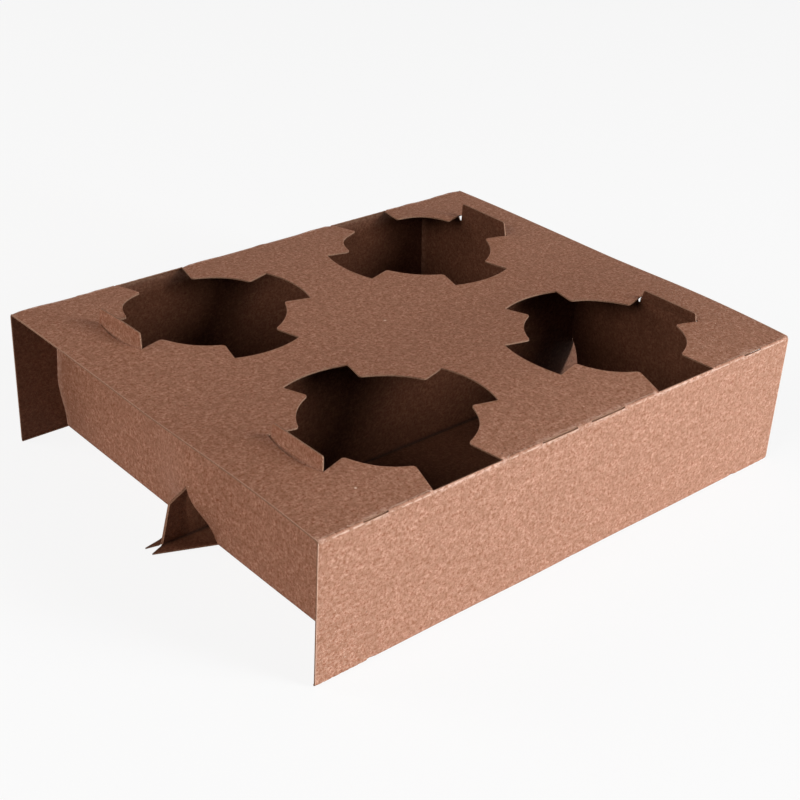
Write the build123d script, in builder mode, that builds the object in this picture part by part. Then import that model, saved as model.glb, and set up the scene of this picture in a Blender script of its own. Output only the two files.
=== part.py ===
from build123d import *

import os
from math import cos, radians, sin, tan

os.makedirs("parts", exist_ok=True)

# Cup carrier, one die-cut and folded board. Millimetres, +Z up, +X along the long walls.
# The origin is the centre of the base. All shapes are drawn for +X and mirrored at the end.

# The board and its folds
board = 0.6
fold_inside = 0.3
fold_outside = fold_inside + board
clearance = 0.2
overrun = 1.0

# The cup openings: four tabs between four flared cut-outs, an eighth of a turn each
cup_pitch_x = 108.5
cup_pitch_y = 105.5
cup_opening = 60.6
tab_depth = 10.95
tab_corner = 1.5
cutout_turn = radians(45)
cutout_flare = radians(16)
cup_x = cup_pitch_x / 2
cup_y = cup_pitch_y / 2
cutout_reach = cup_opening / 2 + tab_depth

# The tray, whose folds and end walls stand at the reach of the openings
height = 55.0
overhang = 20.0
end_x = cup_x + cutout_reach
length = 2 * (end_x + overhang)
width = 2 * (cup_y + cutout_reach)
inner_y = width / 2 - board
panel_underside = height - board
wall_top = panel_underside - clearance

# The slits that weaken the two top folds, between the openings and near the ends
slit_width = 0.9
inner_slit_length = 17.0
inner_slit_start = 3.5
outer_slit_length = 10.0
outer_slit_past_wall = 2.5
inner_slit_x = inner_slit_start + inner_slit_length / 2
outer_slit_x = end_x + outer_slit_past_wall - outer_slit_length / 2

# The end walls, which lean in, and the tongues that lock them in the openings
end_lean = radians(3)
lean_across = board / cos(end_lean)
tongue_rise = 7.5
tongue_taper = 4.4
tongue_corner = 1.2

# The gusset under each end: the triangle that stays flat when its wall is folded up
gusset_width = 24.0
gusset_apex = 20.6
beak_length = 21.5
beak_spread = 6.0
beak_notch_length = 16.5
beak_reach = end_x + beak_length

# The keel, two layers folded up along the middle of the floor, and its toes
toe_length = 15.5
toe_brow_length = 12.0
toe_brow = 16.0
toe_crown_length = 5.0
toe_crown = 20.0


def cutout_half(distance):
    """Half the width of a cut-out at this distance from the middle of its opening."""
    tab_edge = cup_opening / 2 * cos(cutout_turn / 2)
    return cup_opening / 2 * sin(cutout_turn / 2) + (distance - tab_edge) * tan(cutout_flare)


def wall_outside(z):
    """Where the outer face of the end wall stands at this height."""
    return end_x - z * tan(end_lean)


def wall_inside(z):
    """Where the inner face of the end wall stands at this height."""
    return wall_outside(z) - lean_across


floor_end = end_x - 2 * fold_outside
keel_inset = wall_inside(0) - clearance
tongue_x = wall_inside(height) - cup_x
tongue_foot = 2 * (cutout_half(tongue_x) - clearance)

with BuildPart() as carrier_board:
    # The closed sleeve between the end walls: top, long walls and floor
    with BuildSketch(Plane.YZ):
        with Locations((0, height / 2)):
            RectangleRounded(width, height, fold_outside)
            RectangleRounded(width - 2 * board, height - 2 * board, fold_inside, mode=Mode.SUBTRACT)
    extrude(amount=floor_end)

    # Past the end walls only the top and the long walls go on, down to their cut edges
    with BuildSketch(Plane.YZ.offset(floor_end)) as hood:
        with Locations((0, height / 2)):
            Rectangle(width, height)
        fillet(hood.vertices().group_by(Axis.Y)[-1], radius=fold_outside)
        with BuildSketch(mode=Mode.PRIVATE) as hood_hollow:
            with Locations((0, panel_underside / 2)):
                Rectangle(2 * inner_y, panel_underside)
            fillet(hood_hollow.vertices().group_by(Axis.Y)[-1], radius=fold_inside)
        add(hood_hollow.sketch, mode=Mode.SUBTRACT)
    extrude(amount=length / 2 - floor_end)

    # The cup openings, whose outer cut-outs run on to the fold
    with BuildSketch(Plane.XY.offset(panel_underside - overrun)) as openings:
        with Locations((cup_x, cup_y)):
            for turn in (0, 90):
                Polygon(
                    (-cutout_reach, -cutout_half(cutout_reach)),
                    (0, -cutout_half(0)),
                    (cutout_reach, -cutout_half(cutout_reach)),
                    (cutout_reach, cutout_half(cutout_reach)),
                    (0, cutout_half(0)),
                    (-cutout_reach, cutout_half(cutout_reach)),
                    rotation=turn,
                    align=None,
                )
            Circle(cutout_reach, mode=Mode.INTERSECT)
            Circle(cup_opening / 2)
        Polygon(
            (cup_x - cutout_half(0), cup_y),
            (cup_x + cutout_half(0), cup_y),
            (cup_x + cutout_half(inner_y - cup_y), inner_y),
            (cup_x - cutout_half(inner_y - cup_y), inner_y),
            align=None,
        )
        tab_points = openings.vertices().sort_by_distance((cup_x, cup_y))[:8]
        fillet(tab_points, radius=tab_corner)
        mirror(about=Plane.XZ)
    extrude(amount=board + 2 * overrun, mode=Mode.SUBTRACT)

    # The slits in the top folds
    for slit_x, slit_length in ((inner_slit_x, inner_slit_length), (outer_slit_x, outer_slit_length)):
        with BuildSketch(Plane.YZ.offset(slit_x)):
            with Locations((width / 2 - fold_outside, height - fold_outside)):
                Rectangle(4 * fold_outside, slit_width, rotation=45)
            mirror(about=Plane.XZ)
        extrude(amount=slit_length / 2, both=True, mode=Mode.SUBTRACT)

    # The end wall, folded up from the floor
    with BuildSketch(Plane.XZ) as end_section:
        Polygon(
            (floor_end, 0),
            (end_x, 0),
            (wall_outside(wall_top), wall_top),
            (wall_inside(wall_top), wall_top),
            (wall_inside(board), board),
            (floor_end, board),
            align=None,
        )
        fillet(end_section.vertices().sort_by_distance((end_x, 0))[0], radius=fold_outside)
        fillet(
            end_section.vertices().sort_by_distance((wall_inside(board), board))[0],
            radius=fold_inside,
        )
    extrude(amount=inner_y + board / 2, both=True)

    # Its two tongues, which stand up through the openings
    lean_plane = Plane(origin=(end_x, 0, 0), x_dir=(0, 1, 0), z_dir=(cos(end_lean), 0, sin(end_lean)))
    with BuildSketch(lean_plane) as tongues:
        foot = (wall_top - overrun) / cos(end_lean)
        tip = (height + tongue_rise) / cos(end_lean)
        Polygon(
            (cup_y - tongue_foot / 2, foot),
            (cup_y + tongue_foot / 2, foot),
            (cup_y + tongue_foot / 2 - tongue_taper / 2, tip),
            (cup_y - tongue_foot / 2 + tongue_taper / 2, tip),
            align=None,
        )
        fillet(tongues.vertices().group_by(Axis.Y)[-1], radius=tongue_corner)
        mirror(about=Plane.YZ)
    extrude(amount=-board)

    # The gusset opening in the wall, and the flat triangle that came out of it
    with BuildSketch(Plane.YZ.offset(wall_inside(gusset_apex))):
        Polygon((-gusset_width / 2, 0), (gusset_width / 2, 0), (0, gusset_apex), align=None)
    extrude(amount=end_x - wall_inside(gusset_apex) + overrun, mode=Mode.SUBTRACT)
    with BuildSketch(Plane.XY):
        Polygon(
            (wall_inside(gusset_apex), -gusset_width / 2),
            (end_x, -gusset_width / 2),
            (beak_reach, -beak_spread / 2),
            (end_x + beak_notch_length, 0),
            (beak_reach, beak_spread / 2),
            (end_x, gusset_width / 2),
            (wall_inside(gusset_apex), gusset_width / 2),
            align=None,
        )
    extrude(amount=board)

    # The keel and its toe, which reaches out through the gusset opening
    with BuildSketch(Plane.XZ):
        Polygon(
            (0, 0),
            (end_x + toe_length, 0),
            (end_x + toe_brow_length, toe_brow),
            (end_x + toe_crown_length, toe_crown),
            (keel_inset - toe_crown * tan(end_lean), toe_crown),
            (keel_inset - wall_top * tan(end_lean), wall_top),
            (0, wall_top),
            align=None,
        )
    extrude(amount=board, both=True)

    # The groove under the floor, where its two halves turn up into the keel
    with BuildSketch(Plane.YZ):
        with Locations((0, fold_outside / 2)):
            Rectangle(2 * fold_outside, fold_outside)
        with Locations((-fold_outside, fold_outside), (fold_outside, fold_outside)):
            Circle(fold_outside, mode=Mode.SUBTRACT)
    extrude(amount=beak_reach, mode=Mode.SUBTRACT)

    mirror(about=Plane.YZ)

carrier_board.part.label = "carrier_board"
export_step(carrier_board.part, "parts/carrier_board.step")
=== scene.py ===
from math import ceil, cos, pi, radians, sin, sqrt, tan

import bmesh
import bpy
from mathutils import Matrix, Vector, noise
from mathutils.geometry import delaunay_2d_cdt
from mathutils.kdtree import KDTree


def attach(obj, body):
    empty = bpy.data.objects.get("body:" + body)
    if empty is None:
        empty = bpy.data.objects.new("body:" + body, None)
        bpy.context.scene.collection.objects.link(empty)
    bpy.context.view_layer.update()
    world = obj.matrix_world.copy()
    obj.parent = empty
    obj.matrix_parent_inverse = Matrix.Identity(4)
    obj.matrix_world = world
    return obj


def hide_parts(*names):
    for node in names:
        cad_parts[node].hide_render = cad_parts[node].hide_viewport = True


# Cup carrier in folded kraft board. Metres, +Z up, +X along the long walls.
# The board is laid out flat as its blank, with every cut edge, and then folded, bowed and thickened.
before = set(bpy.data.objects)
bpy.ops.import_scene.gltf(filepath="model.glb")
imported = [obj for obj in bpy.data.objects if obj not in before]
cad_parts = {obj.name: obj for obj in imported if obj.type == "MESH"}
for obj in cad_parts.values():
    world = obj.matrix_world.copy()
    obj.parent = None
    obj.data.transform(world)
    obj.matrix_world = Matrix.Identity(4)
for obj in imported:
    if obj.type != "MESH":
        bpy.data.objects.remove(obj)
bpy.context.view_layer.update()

# The board and its folds, measured at the middle of its thickness
board = 0.0006
fold_outside = 0.0009
bend_radius = fold_outside - board / 2
bend_arc = bend_radius * pi / 2
clearance = 0.0002

# The cup openings: four tabs between four flared cut-outs, an eighth of a turn each
cup_x = 0.05425
cup_y = 0.05275
cup_radius = 0.0303
tab_depth = 0.01095
tab_corner = 0.0015
cutout_turn = radians(45)
cutout_flare = radians(16)
cutout_reach = cup_radius + tab_depth

# The tray
height = 0.055
overhang = 0.020
end_x = cup_x + cutout_reach
half_length = end_x + overhang
half_width = cup_y + cutout_reach
panel_middle = height - board / 2
wall_top = height - board - clearance

# The slits in the top folds, each as its start and its end along the fold
slit_gap = 0.0003
inner_slit_start = 0.0035
inner_slit_length = 0.0170
outer_slit_length = 0.0100
outer_slit_end = end_x + 0.0025
slits = (
    (inner_slit_start, inner_slit_start + inner_slit_length),
    (outer_slit_end - outer_slit_length, outer_slit_end),
)
fold_opening = 0.0015

# The end walls and their tongues, with a small notch in the wall on each side of a tongue
end_lean = radians(3)
end_gap = 0.00005
end_side = half_width - board - end_gap
tongue_rise = 0.0075
tongue_top = height + tongue_rise
tongue_outer_taper = 0.0006
tongue_inner_taper = 0.0016
tongue_corner = 0.0009
right_tongue_drop = 0.0020
notch_width = 0.0020
notch_start_share = 0.1
notch_end_share = 0.6
front_notch_depth = 0.0022
rear_notch_depth = 0.0013

# The gusset under each end, the beaks beside the keel and the keel's toe
gusset_half = 0.0120
gusset_apex = 0.0206
beak_tip = end_x + 0.0215
beak_tip_y = 0.0030
beak_root = end_x + 0.0165
toe_foot = end_x + 0.0155
toe_brow_x = end_x + 0.0120
toe_brow = 0.0160
toe_crown_x = end_x + 0.0050
toe_crown = 0.0197
relief = 0.0003

# How the top is bowed up between its folds and the keel, and how far the end walls hold it down
front_bow = 0.0027
rear_bow = 0.0009
bow_skew = 1.3
middle_rise = 0.0012
fold_rise = 0.0005
end_slack = 0.65
end_power = 6
left_rear_rise = 0.0007
left_rear_start = 0.075
ripple = 0.00016
ripple_length = 0.045

# Places where the top panel is pushed out of true, each with its x and y and its push along x, y and z
pushes = (
    (-0.0324, -0.0737, 0.0009, -0.0009, 0.0),
    (-0.0752, -0.0746, -0.0004, -0.0006, 0.0),
    (0.0752, -0.0746, 0.0008, -0.0008, 0.0),
    (0.0324, -0.0737, -0.0004, -0.0006, 0.0),
    (0.0324, 0.0737, -0.0015, 0.0015, 0.0),
    (-0.0752, 0.0746, -0.0017, 0.0017, 0.0),
    (0.0752, 0.0746, 0.0008, 0.0012, 0.0010),
    (0.0890, 0.0670, 0.0, 0.0006, 0.0008),
    (-0.0324, 0.0737, 0.0004, 0.0006, 0.0),
    (-0.0887, 0.0393, 0.0, 0.0005, 0.0003),
    (0.0887, 0.0393, 0.0, 0.0005, 0.0005),
    (0.0840, -0.0370, 0.0, 0.0, -0.0006),
)
push_reach = 0.017

# How the end walls are bulged out. Each span is where a bulge starts to grow or fade and where it ends.
bulge_foot_span = (0.001, 0.018)
left_corner_bulge = 0.0040
left_corner_span = (0.045, half_width)
left_corner_rise_span = (0.0, 0.024)
left_corner_fade_span = (0.036, height)
left_corner_fade = 0.5
left_gusset_bulge = 0.0060
left_gusset_reach = 0.030
left_gusset_fade_span = (0.020, 0.052)
right_bulge = 0.0045
right_bulge_reach = 0.034

# How the keel's ends follow the end walls, how the rear beak of the left end is squeezed towards the keel,
# and the small bead that stands up along each top fold
keel_bend_start = 0.070
crown_band = 0.0015
squeeze_start = end_x + 0.003
rear_squeeze = 0.5
crease_bead = 0.00022
crease_length = 0.005

# How finely the sheets are divided
outline_step = 0.0020
curve_step = 0.0011
corner_steps = 4
tip_tries = 8
grid_step = 0.0040
worn_band = 0.00045
bend_spacing = worn_band * 0.3
edge_spacing = worn_band * 0.95
bend_rows = 6
weld = 0.000004
blank_tolerance = 0.0000001
rounding_share = 0.001


def cutout_half(distance):
    """Half the width of a cut-out at this distance from the middle of its opening."""
    tab_edge = cup_radius * cos(cutout_turn / 2)
    return cup_radius * sin(cutout_turn / 2) + (distance - tab_edge) * tan(cutout_flare)


# Distances along the blank from the middle of the top panel, over the wall and floor to the keel
top_run = half_width - fold_outside
wall_run = height - 2 * fold_outside
floor_run = half_width - 2 * fold_outside
keel_run = wall_top - fold_outside
at_wall = top_run + bend_arc
at_low = at_wall + wall_run
at_floor = at_low + bend_arc
at_root = at_floor + floor_run
at_keel = at_root + bend_arc
at_top_fold = top_run + bend_arc / 2

quarter_turn = -pi / 2
sleeve_steps = (
    (top_run, 0),
    (bend_arc, quarter_turn),
    (wall_run, 0),
    (bend_arc, quarter_turn),
    (floor_run, 0),
    (bend_arc, quarter_turn),
    (keel_run, 0),
)
hood_steps = ((top_run, 0), (bend_arc, quarter_turn), (half_length, 0))

# The end wall's fold starts where the outside of its bend leaves the floor
end_turn = pi / 2 + end_lean
end_arc = bend_radius * end_turn
end_fold_x = end_x - fold_outside * tan(end_turn / 2)
end_steps = ((end_arc, end_turn), (half_length, 0))
end_arc_rise = board / 2 + bend_radius * (1 - cos(end_turn))
relief_x = end_fold_x - 2 * relief


def floor_at(y):
    """Distance along the blank to this place of the floor."""
    return at_floor + top_run - y


def keel_at(z):
    """Distance along the blank to this height of the keel."""
    return at_keel + z - fold_outside


def up_end(z):
    """Distance up the end wall, from the start of its fold, to this height."""
    return end_arc + (z - end_arc_rise) / cos(end_lean)


def end_inside(z):
    """Where the inner face of the end wall stands at this height."""
    return end_x - z * tan(end_lean) - board / cos(end_lean)


def walk(start, steps, distance):
    """A point on a path of straight runs and bends, each given by its length and its turn."""
    across, up = start
    heading = 0.0
    for length, turn in steps:
        run = min(distance, length)
        if turn:
            radius = length / turn
            ahead = heading + run / radius
            across += radius * (sin(ahead) - sin(heading))
            up -= radius * (cos(ahead) - cos(heading))
            heading = ahead
        else:
            across += run * cos(heading)
            up += run * sin(heading)
        distance -= run
        if distance <= 0:
            break
    return across, up


def smooth(low, high, value):
    """A soft step from 0 at low to 1 at high."""
    share = min(1.0, max(0.0, (value - low) / (high - low)))
    return share * share * (3 - 2 * share)


def lift(x, y):
    """How far the top panel is bowed up at this place."""
    along = abs(x) / half_length
    across = min(1.0, abs(y) / half_width)
    bow = (front_bow if y < 0 else rear_bow) * sin(pi * across**bow_skew)
    held = 1 - end_slack * along**end_power
    rise = held * (bow + middle_rise * (1 - across)) + fold_rise * across * (1 - along**2)
    return rise + left_rear_rise * smooth(left_rear_start, half_length, -x) * smooth(0.0, half_width, y)


def pushed(x, y):
    """The push at this place of the top panel."""
    total = Vector((0, 0, 0))
    for push_x, push_y, *push in pushes:
        away = Vector((x - push_x, y - push_y)).length
        total += (1 - smooth(0.0, push_reach, away)) * Vector(push)
    return total


def bulge(y, z, side):
    """How far an end wall is bowed out at this place."""
    above_foot = smooth(*bulge_foot_span, z)
    if side > 0:
        return right_bulge * (1 - smooth(0.0, right_bulge_reach, abs(y))) * above_foot
    corner = smooth(*left_corner_span, y) * smooth(*left_corner_rise_span, z)
    corner *= 1 - left_corner_fade * smooth(*left_corner_fade_span, z)
    gusset = (1 - smooth(0.0, left_gusset_reach, abs(y))) * above_foot
    gusset *= 1 - smooth(*left_gusset_fade_span, z)
    return left_corner_bulge * corner + left_gusset_bulge * gusset


def fold_cut(x):
    """How far the top fold is cut open at this place along it, from 0 to 1."""
    half = cutout_half(at_top_fold - cup_y)
    spans = slits + ((cup_x - half, cup_x + half),)
    away = min(max(start - abs(x), abs(x) - end, 0.0) for start, end in spans)
    return 1 - smooth(0.0, fold_opening, away)


def top_fold(x, along, y, z):
    """Straightens the top fold where it is cut open, and beads it elsewhere."""
    distance = abs(along)
    if distance < at_top_fold:
        flat_y = distance
        flat_z = panel_middle
    else:
        flat_y = top_run + bend_radius
        flat_z = panel_middle - bend_radius + at_wall - distance
    share = fold_cut(x)
    bead = crease_bead * sin(pi * (distance - top_run) / bend_arc) * (1 - share)
    bead *= 1 + noise.noise(Vector((x / crease_length, along, 0)))
    bead *= 1 - smooth(half_length - crease_length, half_length, abs(x))
    return y + ((flat_y - y) * share + bead), z + ((flat_z - z) * share + bead)


def keel_bend(x, z):
    """How far the end of the keel is moved along x by the bulge of the end wall that it meets."""
    side = 1 if x > 0 else -1
    inside = end_inside(z)
    share = smooth(keel_bend_start, inside, abs(x)) * smooth(toe_crown - crown_band, toe_crown, z)
    share *= min(1.0, max(0.0, (toe_crown_x - abs(x)) / (toe_crown_x - inside)))
    return side * max(0.0, bulge(0.0, z, side) - board) * share


def sleeve_point(x, along):
    """Folds a point of the blank's main strip: top, long walls, floor and keel."""
    distance = abs(along)
    past_relief = abs(x) > relief_x + relief / 2 and distance < at_floor - bend_arc / 2
    y, z = walk((0.0, panel_middle), hood_steps if past_relief else sleeve_steps, distance)
    if top_run < distance < at_wall:
        y, z = top_fold(x, along, y, z)
    y = y if along > 0 else -y
    if x < 0 < along and at_floor < distance <= at_root:
        y *= 1 - rear_squeeze * smooth(squeeze_start, toe_foot, -x)
    if distance > at_root:
        x += keel_bend(x, z)
    place = Vector((x, y, z + lift(x, y) * z / height))
    return place + pushed(x, y) if distance < top_run else place


def end_point(up, y, side):
    """Folds a point of an end wall."""
    x, z = walk((end_fold_x, board / 2), end_steps, up)
    rise = lift(side * x, y) * z / height if z < wall_top + board else 0.0
    if side > 0 and y < 0:
        rise -= right_tongue_drop * smooth(wall_top, tongue_top, z)
    return Vector((side * (x + bulge(y, z, side)), y, z + rise))


def evenly(start, end, count):
    """Values from start to end, both included, in this many equal steps."""
    return [start + (end - start) * index / count for index in range(count + 1)]


def spaced(start, end, longest):
    """Points from start towards end, without the end, no farther apart than the longest step."""
    count = max(1, ceil((end - start).length / longest - rounding_share))
    return [start.lerp(end, index / count) for index in range(count)]


def arc(centre, radius, start, end):
    """Points of an arc from one angle to another, both ends included."""
    count = max(3, ceil(abs(end - start) * radius / curve_step))
    return [centre + radius * Vector((cos(turn), sin(turn))) for turn in evenly(start, end, count)]


def corner_arc(centre, first, last):
    """Points of a small arc, given by its centre and by its first and last spoke."""
    turns = evenly(0.0, -first.angle_signed(last), corner_steps)
    return [centre + Matrix.Rotation(turn, 2) @ first for turn in turns]


def rounded(before, corner, after, radius):
    """The corner replaced by an arc that touches both its sides."""
    to_before = (before - corner).normalized()
    to_after = (after - corner).normalized()
    half = to_before.angle(to_after) / 2
    centre = corner + (to_before + to_after).normalized() * radius / sin(half)
    first = corner + to_before * radius / tan(half) - centre
    last = corner + to_after * radius / tan(half) - centre
    return corner_arc(centre, first, last)


def closed(points):
    """A loop through these points, divided so that no side is longer than the step."""
    loop = []
    for here, ahead in zip(points, points[1:] + points[:1]):
        loop += spaced(here, ahead, outline_step)
    return loop


def tab_outline():
    """The rounded corner of a tab, which touches the side of the cut-out and the cup circle from outside."""
    side = Vector((cos(cutout_flare), sin(cutout_flare)))
    normal = Vector((-side.y, side.x))
    foot = cup_radius * Vector((cos(cutout_turn / 2), sin(cutout_turn / 2))) + tab_corner * normal
    ahead = foot.dot(side)
    slide = sqrt(ahead**2 - foot.length_squared + (cup_radius + tab_corner) ** 2) - ahead
    centre = foot + slide * side
    on_side = centre - tab_corner * normal
    on_circle = (centre / centre.length) * cup_radius
    return corner_arc(centre, on_side - centre, on_circle - centre)


def cutout_tip(on_fold):
    """The outer end of a cut-out: straight where it lies on the fold, otherwise round."""
    if on_fold:
        fold = at_top_fold - cup_y
        return [Vector((fold, -cutout_half(fold))), Vector((fold, cutout_half(fold)))]
    # The angle at which the side of the cut-out meets the round end, closer with each try
    reach = Vector((cutout_reach, cutout_half(cutout_reach))).angle_signed(Vector((1, 0)))
    for _ in range(tip_tries):
        meeting = cutout_reach * Vector((cos(reach), sin(reach)))
        reach += (cutout_half(meeting.x) - meeting.y) / cutout_reach
    return arc(Vector((0, 0)), cutout_reach, -reach, reach)


def opening_outline():
    """The cut edge of one cup opening, with its outer side on the fold."""
    centre = Vector((cup_x, cup_y))
    tab = tab_outline()
    mirrored_tab = [Vector((point.x, -point.y)) for point in reversed(tab)]
    tab_angle = tab[-1].angle_signed(Vector((1, 0)))
    tab_edge = arc(Vector((0, 0)), cup_radius, tab_angle, pi / 2 - tab_angle)[1:-1]
    points = []
    for quarter in range(4):
        cutout = mirrored_tab + cutout_tip(quarter == 1) + tab + tab_edge
        turned = Matrix.Rotation(pi / 2 * quarter, 2)
        points += [centre + turned @ point for point in cutout]
    return points


def slit_outline(start, end):
    """The cut edge of one slit, which lies along the middle of the top fold."""
    low = at_top_fold - slit_gap / 2
    high = at_top_fold + slit_gap / 2
    return [Vector((start, low)), Vector((end, low)), Vector((end, high)), Vector((start, high))]


def rows(edges, bends):
    """Places for the rows of a grid: even ones between the edges, close ones in and beside each bend."""
    places = []
    for start, end in zip(edges, edges[1:]):
        places += evenly(start, end, max(1, ceil((end - start) / grid_step)))
    for start, end in bends:
        places += evenly(start, end, bend_rows)
        places += [start - 3 * worn_band, start - worn_band, end + worn_band, end + 3 * worn_band]
    return sorted(set(places))


def beside(loop, distance):
    """Points beside the points of a loop, at this distance to its left."""
    points = []
    for before, here, after in zip(loop[-1:] + loop[:-1], loop, loop[1:] + loop[:1]):
        along = (after - before).normalized()
        points.append(here + distance * Vector((-along.y, along.x)))
    return points


def sheet(outline, holes, columns, lines, bends):
    """Divides a flat piece of the blank into triangles. The outline and the holes run anticlockwise."""
    points = []
    areas = []
    inner = beside(outline, worn_band)
    for hole in holes:
        inner += beside(hole, -worn_band)
    inner += [Vector((x, line)) for x in columns for line in lines]
    for loop in [outline] + holes:
        areas.append(list(range(len(points), len(points) + len(loop))))
        points += loop
    near = KDTree(len(points))
    for index, point in enumerate(points):
        near.insert(point.to_3d(), index)
    near.balance()
    for point in inner:
        in_bend = any(start - worn_band < point.y < end + worn_band for start, end in bends)
        if near.find(point.to_3d())[2] > (bend_spacing if in_bend else edge_spacing):
            points.append(point)
    flat, _, faces, _, _, inside = delaunay_2d_cdt(points, [], areas, 0, blank_tolerance, True)
    return flat, [face for face, areas_here in zip(faces, inside) if areas_here == [0]]


def sleeve_sheet():
    """One quarter of the main strip, with its opening and slits."""
    corners = [
        (0, 0),
        (half_length, 0),
        (half_length, at_low + fold_outside),
        (relief_x + relief, at_low + fold_outside),
        (relief_x + relief, at_low),
        (relief_x, at_low),
        (relief_x, at_floor),
        (end_fold_x, at_floor),
        (end_fold_x, floor_at(gusset_half)),
        (beak_tip, floor_at(beak_tip_y)),
        (beak_root, at_root),
        (toe_foot, at_keel),
        (toe_brow_x, keel_at(toe_brow)),
        (toe_crown_x, keel_at(toe_crown)),
        (end_inside(toe_crown), keel_at(toe_crown)),
        (end_inside(wall_top), keel_at(wall_top)),
        (0, keel_at(wall_top)),
    ]
    outline = closed([Vector(corner) for corner in corners])
    holes = [closed(opening_outline())] + [closed(slit_outline(*slit)) for slit in slits]
    columns = rows((0.0, end_fold_x, half_length), ())
    bends = ((top_run, at_wall), (at_low, at_floor), (at_root, at_keel))
    lines = rows((0.0, top_run, at_wall, at_low, at_floor, at_root, at_keel, keel_at(wall_top)), bends)
    return sheet(outline, holes, columns, lines, bends)


def notch(corner, side, depth):
    """The notch beside a tongue's foot, from the tongue outwards."""
    return [
        corner + Vector((-depth, side * notch_start_share * notch_width)),
        corner + Vector((-depth, side * notch_end_share * notch_width)),
        corner + Vector((0, side * notch_width)),
    ]


def end_sheet(notch_depth):
    """One half of an end wall, with its tongue, from the middle to the long wall."""
    half_foot = cutout_half(end_inside(height) - cup_x) - clearance
    foot = up_end(wall_top)
    tip = up_end(tongue_top)
    inner_foot = Vector((foot, cup_y - half_foot))
    inner_tip = Vector((tip, cup_y - half_foot + tongue_inner_taper))
    outer_tip = Vector((tip, cup_y + half_foot - tongue_outer_taper))
    outer_foot = Vector((foot, cup_y + half_foot))
    corners = [
        Vector((0, gusset_half)),
        Vector((up_end(gusset_apex), 0)),
        Vector((foot, 0)),
        *reversed(notch(inner_foot, -1, notch_depth)),
        inner_foot,
        *rounded(inner_foot, inner_tip, outer_tip, tongue_corner),
        *rounded(inner_tip, outer_tip, outer_foot, tongue_corner),
        outer_foot,
        *notch(outer_foot, 1, notch_depth),
        Vector((foot, end_side)),
        Vector((end_arc + relief, end_side)),
        Vector((end_arc, top_run)),
        Vector((0, top_run)),
    ]
    columns = rows((0.0, end_arc, foot, tip), ((0.0, end_arc),))
    lines = rows((0.0, gusset_half, top_run), ())
    return sheet(closed(corners), [], columns, lines, ())


def folded_board():
    """The whole carrier as one sheet without thickness, folded from four mirrored quarters."""
    shape = bmesh.new()
    flat_layer = shape.verts.layers.float_vector.new("blank")
    sleeve = sleeve_sheet()
    ends = {1: end_sheet(rear_notch_depth), -1: end_sheet(front_notch_depth)}
    for side_x in (1, -1):
        for side_y in (1, -1):
            for is_end in (False, True):
                flat, faces = ends[side_y] if is_end else sleeve
                verts = []
                for first, second in flat:
                    if is_end:
                        vert = shape.verts.new(end_point(first, side_y * second, side_x))
                        vert[flat_layer] = (side_x * (end_fold_x + first), side_y * second, 0)
                    else:
                        vert = shape.verts.new(sleeve_point(side_x * first, side_y * second))
                        vert[flat_layer] = (side_x * first, side_y * second, 0)
                    verts.append(vert)
                flip = (side_x * side_y < 0) != is_end
                for face in faces:
                    corners = [verts[index] for index in face]
                    shape.faces.new(corners[::-1] if flip else corners)
    shape.verts.ensure_lookup_table()
    bmesh.ops.delete(shape, geom=[vert for vert in shape.verts if not vert.link_faces], context="VERTS")
    bmesh.ops.remove_doubles(shape, verts=shape.verts, dist=weld)
    return shape


def creased(along):
    """1 on the lines where the top fold starts and ends, 0 away from them."""
    away = min(abs(abs(along) - top_run), abs(abs(along) - at_wall))
    return 1 - smooth(0.0, worn_band, away)


def painted_keel_fold_shade(along):
    """1 on the fold where the floor turns up into the keel, 0 away from it. It marks where the shade in that
    fold is painted.
    """
    away = max(at_root - abs(along), abs(along) - at_keel, 0.0)
    return 1 - smooth(0.0, 2 * worn_band, away)


# How pale the cut edges within the sheet are, as a share of those at its two ends
inner_wear = 0.15


def carrier_sheet():
    """The folded sheet, slightly rippled, as a mesh that knows its wear, its creases and where shade is
    painted in the fold beside the keel.
    """
    shape = folded_board()
    shape.normal_update()
    wear_layer = shape.verts.layers.float.new("wear")
    crease_layer = shape.verts.layers.float.new("crease")
    keel_fold_shade_layer = shape.verts.layers.float.new("keel_fold_shade")
    blank_layer = shape.verts.layers.float_vector["blank"]
    for vert in shape.verts:
        x, along, _ = vert[blank_layer]
        if vert.is_boundary:
            vert[wear_layer] = 1.0 if abs(abs(x) - half_length) < weld else inner_wear
        vert[crease_layer] = creased(along)
        vert[keel_fold_shade_layer] = painted_keel_fold_shade(along)
        vert.co += vert.normal * ripple * noise.noise(vert.co / ripple_length)
    mesh = bpy.data.meshes.new("carrier_board_sheet")
    shape.normal_update()
    shape.to_mesh(mesh)
    shape.free()
    return mesh


def thickened(sheet_object):
    """The sheet with its thickness. The inner face and the cut edges take the next two materials."""
    thicken = sheet_object.modifiers.new("thickness", "SOLIDIFY")
    thicken.thickness = board
    thicken.offset = 0
    thicken.material_offset = 1
    thicken.material_offset_rim = 2
    evaluated = sheet_object.evaluated_get(bpy.context.evaluated_depsgraph_get())
    mesh = bpy.data.meshes.new_from_object(evaluated)
    sheet_object.modifiers.clear()
    return mesh


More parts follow.
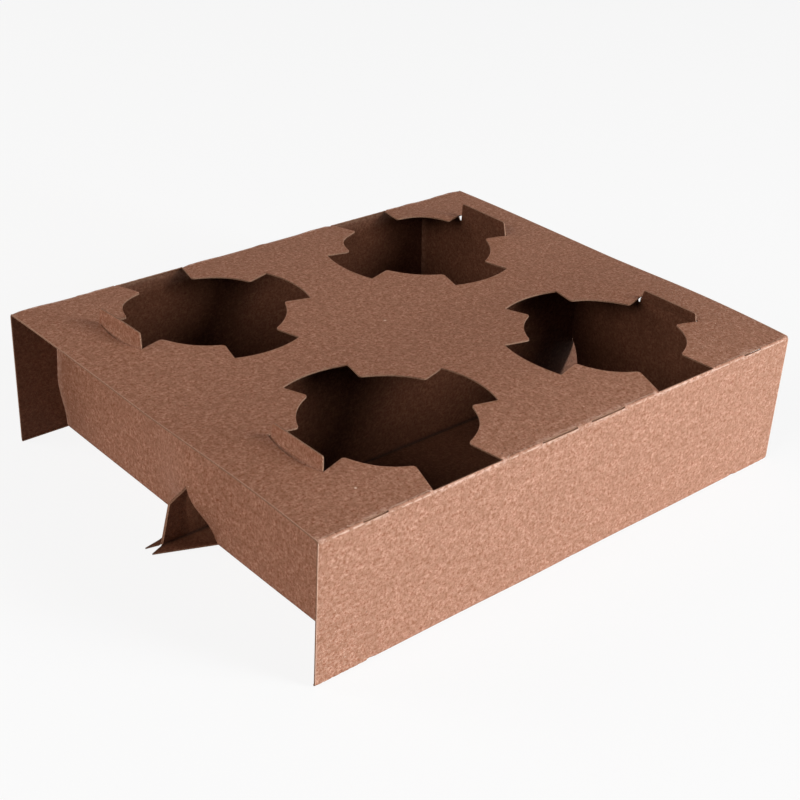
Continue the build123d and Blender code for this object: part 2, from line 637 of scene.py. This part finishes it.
# The grain of the board: sizes of its spots, and the span of the noise over which each kind of spot fades in
cloud_size = 0.014
cloud_detail = 3
patch_size = 0.0030
patch_span = (0.36, 0.64)
mottle_size = 0.0012
mottle_detail = 4
mottle_roughness = 0.85
mottle_span = (0.374, 0.626)
nap_size = 0.0008
nap_detail = 3
nap_roughness = 0.8
noise_span = (0.3, 0.7)
fibre_size = 0.0004
fibre_detail = 1
fibre_span = (0.58, 0.72)
fibre_stretches = ((0.20, 1.0), (1.0, 0.25))
fibre_sway_size = 0.003
fibre_sway = 0.0015
dark_fleck_spacing = 0.0034
pale_fleck_spacing = 0.0041
pale_fleck_offset = 0.3
fleck_radius = 0.00034
fleck_chance_span = (0.5, 1.0)
soft_rim_share = 0.4
crack_size = 0.0009
crack_stretch = 0.5
crack_span = (0.35, 0.62)
ply_size = 0.00035
ply_detail = 3
ply_roughness = 0.6

# The colours of the board as they look on screen, and how far each one covers what lies under it
dark_pulp = (0.490, 0.266, 0.160)
pale_pulp = (0.751, 0.561, 0.467)
cloud_brown = (0.52, 0.35, 0.26)
cloud_cover = 0.20
patch_brown = (0.52, 0.34, 0.24)
patch_cover = 0.52
fibre_tan = (0.74, 0.57, 0.47)
fibre_cover = 0.30
fleck_brown = (0.30, 0.17, 0.11)
fleck_cream = (0.84, 0.70, 0.62)
fleck_cover = 0.7
crease_cream = (0.85, 0.70, 0.62)
crease_cover = 0.75
edge_cream = (0.82, 0.67, 0.58)
edge_cover = 0.55
# Painted shade: a dark line in the fold where the floor turns up into the keel
keel_fold_shade_brown = (0.22, 0.12, 0.08)
keel_fold_shade_cover = 0.75
mark_cover = 0.8
ply_brown = (0.41, 0.27, 0.19)
ply_tan = (0.59, 0.43, 0.33)

# Small marks on the outer face: x and y on the blank, radius and colour
marks = (
    (0.0822, -0.1030, 0.00075, (0.50, 0.27, 0.20)),
    (-0.0341, -0.0894, 0.00040, fleck_brown),
    (-0.0369, -0.0910, 0.00040, fleck_brown),
    (-0.0046, 0.0062, 0.00070, (0.88, 0.76, 0.68)),
    (-0.0895, -0.0796, 0.00060, (0.92, 0.80, 0.72)),
)

# How the board's surface takes the light
board_specular = 0.2
board_roughness = (0.80, 0.66)
nap_strength = 0.9
nap_depth = 0.00014
nap_fibre_share = 0.4
edge_roughness = (0.95, 0.8)
edge_strength = 0.7
edge_depth = 0.0001

# The inner face is darker than the outer one and warmer, which lowers green once and blue twice. This is
# partly the inner face's own colour and partly painted shade for the inside of the tray.
inner_tone_and_painted_shade = 0.34
inner_warmth_and_painted_shade = 0.80
sharp_from = radians(40)


def srgb(red, green, blue):
    """A colour as it looks on screen, turned into the shader's linear values."""
    return (*[((value + 0.055) / 1.055) ** 2.4 for value in (red, green, blue)], 1.0)


def painted(name):
    """A new material with its nodes and its shader."""
    material = bpy.data.materials.new(name)
    material.use_nodes = True
    tree = material.node_tree
    return material, tree, tree.nodes["Principled BSDF"]


def node(tree, kind, inputs, output=0, **settings):
    """Adds a node, fills its sockets with values or other nodes' outputs, and returns one output."""
    made = tree.nodes.new(kind)
    for name, value in settings.items():
        setattr(made, name, value)
    for socket, value in inputs.items():
        if isinstance(value, bpy.types.NodeSocket):
            tree.links.new(value, made.inputs[socket])
        else:
            made.inputs[socket].default_value = value
    return made.outputs[output]


def attribute(tree, name, output="Fac"):
    """What the mesh holds under this name."""
    return node(tree, "ShaderNodeAttribute", {}, output, attribute_name=name)


def grain(tree, vector, size, detail=2.0, roughness=0.5):
    """Soft noise whose spots are about this size."""
    inputs = {"Vector": vector, "Scale": 1 / size, "Detail": detail, "Roughness": roughness}
    return node(tree, "ShaderNodeTexNoise", inputs)


def stretched(tree, vector, x, y=1.0):
    """Coordinates on which a texture looks longer along the axis with the smaller value."""
    return node(tree, "ShaderNodeMapping", {"Vector": vector, "Scale": (x, y, 1.0)})


def step(tree, value, low, high, start=0.0, end=1.0):
    """A value's range from low to high, spread from start to end and held there outside."""
    inputs = {"Value": value, "From Min": low, "From Max": high, "To Min": start, "To Max": end}
    return node(tree, "ShaderNodeMapRange", inputs, interpolation_type="SMOOTHSTEP")


def combined(tree, operation, first, second):
    """Two values put together by plain arithmetic."""
    return node(tree, "ShaderNodeMath", {0: first, 1: second}, operation=operation)


def times(tree, first, second):
    """Two values multiplied."""
    return combined(tree, "MULTIPLY", first, second)


def vectors(tree, operation, inputs, output=0):
    """Two vectors, or a vector and a scale, put together."""
    return node(tree, "ShaderNodeVectorMath", inputs, output, operation=operation)


def blend(tree, share, first, second, way="MIX"):
    """Two colours mixed by a share."""
    inputs = {0: share, 6: first, 7: second}
    return node(tree, "ShaderNodeMix", inputs, output=2, data_type="RGBA", blend_type=way)


def ramped(tree, value, span, low_colour, high_colour):
    """The colours between two, for a value that crosses this span."""
    made = tree.nodes.new("ShaderNodeValToRGB")
    tree.links.new(value, made.inputs[0])
    for stop, position, colour in zip(made.color_ramp.elements, span, (low_colour, high_colour)):
        stop.position = position
        stop.color = srgb(*colour)
    return made.outputs[0]


def flecks(tree, vector, spacing, radius, offset):
    """Small spots, one in each of some cells."""
    moved = vectors(tree, "ADD", {0: vector, 1: (offset, offset, 0.0)})
    cell = tree.nodes.new("ShaderNodeTexVoronoi")
    tree.links.new(moved, cell.inputs["Vector"])
    cell.inputs["Scale"].default_value = 1 / spacing
    chance = node(tree, "ShaderNodeSeparateColor", {0: cell.outputs["Color"]})
    size = step(tree, chance, *fleck_chance_span, 0.0, radius / spacing)
    inside = combined(tree, "SUBTRACT", size, cell.outputs["Distance"])
    return step(tree, inside, 0.0, soft_rim_share * radius / spacing)


def fibres(tree, blank):
    """Fine fibres along and across the board, swayed a little."""
    sway = vectors(tree, "SCALE", {0: grain(tree, blank, fibre_sway_size), "Scale": fibre_sway})
    swayed = vectors(tree, "ADD", {0: blank, 1: sway})
    threads = []
    for stretch in fibre_stretches:
        thread = grain(tree, stretched(tree, swayed, *stretch), fibre_size, fibre_detail)
        threads.append(step(tree, thread, *fibre_span))
    return combined(tree, "MAXIMUM", *threads)


def pulp(tree, blank, mottle):
    """The brown of the pulp: mottled, with clouds and darker patches."""
    clouds = step(tree, grain(tree, blank, cloud_size, cloud_detail), *noise_span, 0.0, cloud_cover)
    patches = step(tree, grain(tree, blank, patch_size), *patch_span, 0.0, patch_cover)
    colour = ramped(tree, mottle, mottle_span, dark_pulp, pale_pulp)
    colour = blend(tree, clouds, colour, srgb(*cloud_brown))
    return blend(tree, patches, colour, srgb(*patch_brown))


def speckled(tree, blank, colour, threads):
    """The colour with its fibres and with dark and pale flecks."""
    dark = flecks(tree, blank, dark_fleck_spacing, fleck_radius, 0.0)
    pale = flecks(tree, blank, pale_fleck_spacing, fleck_radius, pale_fleck_offset)
    colour = blend(tree, times(tree, threads, fibre_cover), colour, srgb(*fibre_tan))
    colour = blend(tree, times(tree, dark, fleck_cover), colour, srgb(*fleck_brown))
    return blend(tree, times(tree, pale, fleck_cover), colour, srgb(*fleck_cream))


def worn_and_shaded(tree, blank, colour):
    """The colour with its paler, broken creases, its paler cut edges and the painted shade in the fold
    beside the keel.
    """
    cracks = grain(tree, stretched(tree, blank, crack_stretch), crack_size)
    broken = times(tree, attribute(tree, "crease"), step(tree, cracks, *crack_span))
    wear = attribute(tree, "wear")
    keel_fold_shade = attribute(tree, "keel_fold_shade")
    colour = blend(tree, times(tree, broken, crease_cover), colour, srgb(*crease_cream))
    colour = blend(tree, times(tree, wear, edge_cover), colour, srgb(*edge_cream))
    # Painted shade in the fold beside the keel
    return blend(tree, times(tree, keel_fold_shade, keel_fold_shade_cover), colour, srgb(*keel_fold_shade_brown))


def marked(tree, blank, colour):
    """The colour with its small marks."""
    for x, y, radius, mark_colour in marks:
        away = vectors(tree, "DISTANCE", {0: blank, 1: (x, y, 0.0)}, output=1)
        share = step(tree, away, soft_rim_share * radius, radius, mark_cover, 0.0)
        colour = blend(tree, share, colour, srgb(*mark_colour))
    return colour


def kraft(name, shade, warmth):
    """Uncoated brown board: clouds, mottled fibres and flecks, paler along creases and cut edges."""
    material, tree, shader = painted(name)
    shader.inputs["Specular IOR Level"].default_value = board_specular
    blank = attribute(tree, "blank", "Vector")
    mottle = grain(tree, blank, mottle_size, mottle_detail, mottle_roughness)
    threads = fibres(tree, blank)
    colour = pulp(tree, blank, mottle)
    colour = speckled(tree, blank, colour, threads)
    colour = worn_and_shaded(tree, blank, colour)
    colour = marked(tree, blank, colour)
    # On the inner face this tint is partly its own darker colour and partly painted shade
    tint = (shade, shade * warmth, shade * warmth**2, 1.0)
    tree.links.new(blend(tree, 1.0, colour, tint, "MULTIPLY"), shader.inputs["Base Color"])
    tree.links.new(step(tree, mottle, *noise_span, *board_roughness), shader.inputs["Roughness"])
    nap = grain(tree, blank, nap_size, nap_detail, nap_roughness)
    rough = combined(tree, "ADD", nap, times(tree, threads, nap_fibre_share))
    bump = node(tree, "ShaderNodeBump", {"Strength": nap_strength, "Distance": nap_depth, "Height": rough})
    tree.links.new(bump, shader.inputs["Normal"])
    return material


def cut_edge():
    """The die-cut edge of the board, with its paler plies."""
    material, tree, shader = painted("kraft_cut_edge")
    place = node(tree, "ShaderNodeTexCoord", {}, output="Object")
    plies = grain(tree, place, ply_size, ply_detail, ply_roughness)
    colour = blend(tree, step(tree, plies, *noise_span), srgb(*ply_brown), srgb(*ply_tan))
    tree.links.new(colour, shader.inputs["Base Color"])
    tree.links.new(step(tree, plies, *noise_span, *edge_roughness), shader.inputs["Roughness"])
    bump = node(tree, "ShaderNodeBump", {"Strength": edge_strength, "Distance": edge_depth, "Height": plies})
    tree.links.new(bump, shader.inputs["Normal"])
    return material


# The carrier, one piece
carrier = bpy.data.objects.new("carrier_board_looks", carrier_sheet())
bpy.context.scene.collection.objects.link(carrier)
carrier.data.materials.append(kraft("kraft_board", 1.0, 1.0))
# The inner face: partly its own darker colour, partly painted shade inside the tray
carrier.data.materials.append(kraft("kraft_inside", inner_tone_and_painted_shade, inner_warmth_and_painted_shade))
carrier.data.materials.append(cut_edge())
carrier.data = thickened(carrier)
carrier.data.shade_smooth()
carrier.data.set_sharp_from_angle(angle=sharp_from)
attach(carrier, "root")
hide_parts("carrier_board")

# The floor is a pale plane. To the camera it is mostly plain white, and it keeps part of its shadows.
floor_size = 8
floor_drop = 0.0002
floor_roughness = 0.8
floor_pale = (0.92, 0.91, 0.90)
floor_seen = (0.95, 0.95, 0.95)
floor_white = 0.87


def seen_white(tree):
    """1 where the camera or a reflection looks, 0 for the light that falls on the object."""
    path = tree.nodes.new("ShaderNodeLightPath")
    seen = combined(tree, "MAXIMUM", path.outputs["Is Camera Ray"], path.outputs["Is Glossy Ray"])
    return combined(tree, "MAXIMUM", seen, path.outputs["Is Transmission Ray"])


def floor_paint():
    """Pale paint for the light, mostly plain white for the camera."""
    material, tree, paint = painted("floor_paint")
    paint.inputs["Roughness"].default_value = floor_roughness
    seen = seen_white(tree)
    tree.links.new(blend(tree, seen, srgb(*floor_pale), srgb(*floor_seen)), paint.inputs["Base Color"])
    glow = node(tree, "ShaderNodeEmission", {"Color": (1, 1, 1, 1), "Strength": 1.0})
    share = times(tree, seen, floor_white)
    mixed = node(tree, "ShaderNodeMixShader", {0: share, 1: paint.outputs["BSDF"], 2: glow})
    tree.links.new(mixed, tree.nodes["Material Output"].inputs["Surface"])
    return material


bpy.ops.mesh.primitive_plane_add(size=floor_size, location=(0, 0, -floor_drop))
floor = bpy.context.object
floor.name = "floor"
floor.data.materials.append(floor_paint())

# Light: a soft room and a few large round lamps, each with its place, its width, its power and its colour
room_light = 0.02
lamps = (
    ("front_lamp", (0.7, -1.5, 0.12), 0.4, 31, (0.86, 1.09, 1.26)),
    ("high_lamp", (0.7, -1.3, 0.80), 0.8, 16.5, (1.04, 1.0, 0.97)),
    ("left_lamp", (-1.4, -0.2, 0.85), 0.8, 11, (1.04, 0.99, 0.97)),
    ("rear_lamp", (-1.0, 1.1, 0.90), 0.8, 6, (1.03, 1.0, 0.98)),
)
world = bpy.data.worlds.new("soft_room")
bpy.context.scene.world = world
world.use_nodes = True
tree = world.node_tree
room = tree.nodes["Background"]
room.inputs["Color"].default_value = (1, 1, 1, 1)
tree.links.new(step(tree, seen_white(tree), 0.0, 1.0, room_light, 1.0), room.inputs["Strength"])

for name, place, width, power, tint in lamps:
    light = bpy.data.lights.new(name, "AREA")
    light.shape = "DISK"
    light.size = width
    light.energy = power
    light.color = tint
    lamp = bpy.data.objects.new(name, light)
    bpy.context.scene.collection.objects.link(lamp)
    lamp.location = place
    lamp.rotation_euler = Vector(place).to_track_quat("Z", "Y").to_euler()

# The camera, solved from the corners of the carrier in the photograph. Its lens is in millimetres.
camera_place = Vector((-0.3421, -0.37573, 0.3042))
camera_azimuth = radians(-42.29)
camera_elevation = radians(28.99)
camera_roll = radians(2.95)
camera_lens = 66.6
camera_sensor = 36
camera_data = bpy.data.cameras.new("camera")
camera_data.lens = camera_lens
camera_data.sensor_width = camera_sensor
camera = bpy.data.objects.new("camera", camera_data)
bpy.context.scene.collection.objects.link(camera)
back = Vector(
    (
        sin(camera_azimuth) * cos(camera_elevation),
        -cos(camera_azimuth) * cos(camera_elevation),
        sin(camera_elevation),
    )
)
turn = back.to_track_quat("Z", "Y").to_matrix() @ Matrix.Rotation(camera_roll, 3, "Z")
camera.matrix_world = Matrix.Translation(camera_place) @ turn.to_4x4()
bpy.context.scene.camera = camera

bpy.context.scene.view_settings.view_transform = "Standard"
